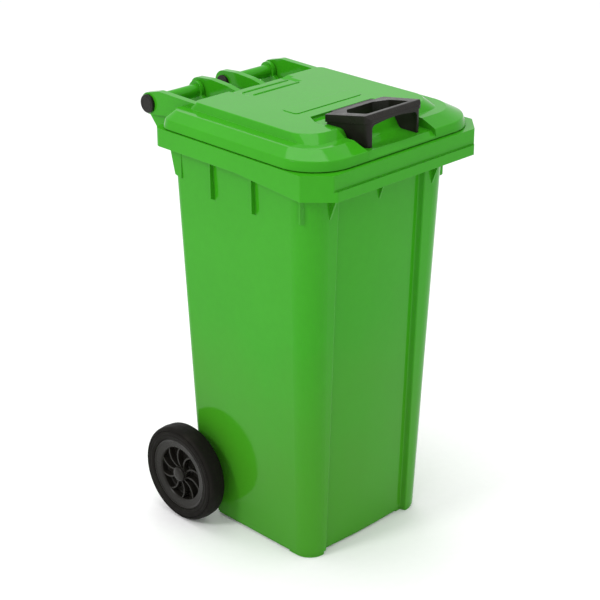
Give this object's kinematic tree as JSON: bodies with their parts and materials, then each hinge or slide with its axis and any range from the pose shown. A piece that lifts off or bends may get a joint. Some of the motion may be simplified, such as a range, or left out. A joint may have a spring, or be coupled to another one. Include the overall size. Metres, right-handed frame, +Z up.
{
  "type": "wheelie bin",
  "caption": "Tall tapered refuse bin with a hinged lid that opens over the back, a grip on the lid, a lifting lip round the mouth and a pair of wheels on an axle at the rear.",
  "frame": {"origin": "on the ground, midway between the bin's sides and midway between the front lip and the back of the hinge ears", "axes": "+Z up, +X to the right seen from the front, the front faces -Y and the hinge, hand grips and wheels are at +Y"},
  "size_m": [0.489, 0.57, 0.9427],
  "materials": {
    "green_plastic": "moulded gloss",
    "black_plastic": "satin moulded",
    "tyre_rubber": "matte",
    "bush_plastic": "natural nylon",
    "zinc_steel": "zinc plated"
  },
  "bodies": {
    "bin": {"tub": "green_plastic", "axle": "zinc_steel", "axle_washer_left": "zinc_steel", "axle_washer_right": "zinc_steel", "push_nut_left": "zinc_steel", "push_nut_right": "zinc_steel", "hinge_pin_left": "black_plastic", "hinge_pin_right": "black_plastic", "hinge_pin_cap_left": "black_plastic", "hinge_pin_cap_right": "black_plastic"},
    "lid": {"lid": "green_plastic", "lid_handle": "black_plastic", "lid_handle_screws": "zinc_steel"},
    "wheel_left": {"wheel_hub_left": "black_plastic", "tyre_left": "tyre_rubber", "wheel_bush_left": "bush_plastic", "hub_cap_left": "black_plastic"},
    "wheel_right": {"wheel_hub_right": "black_plastic", "tyre_right": "tyre_rubber", "wheel_bush_right": "bush_plastic", "hub_cap_right": "black_plastic"}
  },
  "joints": [
    {"name": "lid_hinge", "type": "hinge", "parent": "bin", "child": "lid", "pos_m": [0, 0.259, 0.88], "axis": [-1, 0, 0], "range_deg": [0, 270]},
    {"name": "wheel_left_spin", "type": "hinge", "parent": "bin", "child": "wheel_left", "pos_m": [-0.22, 0.129, 0.106], "axis": [-1, 0, 0], "continuous": true},
    {"name": "wheel_right_spin", "type": "hinge", "parent": "bin", "child": "wheel_right", "pos_m": [0.22, 0.129, 0.106], "axis": [1, 0, 0], "continuous": true}
  ]
}
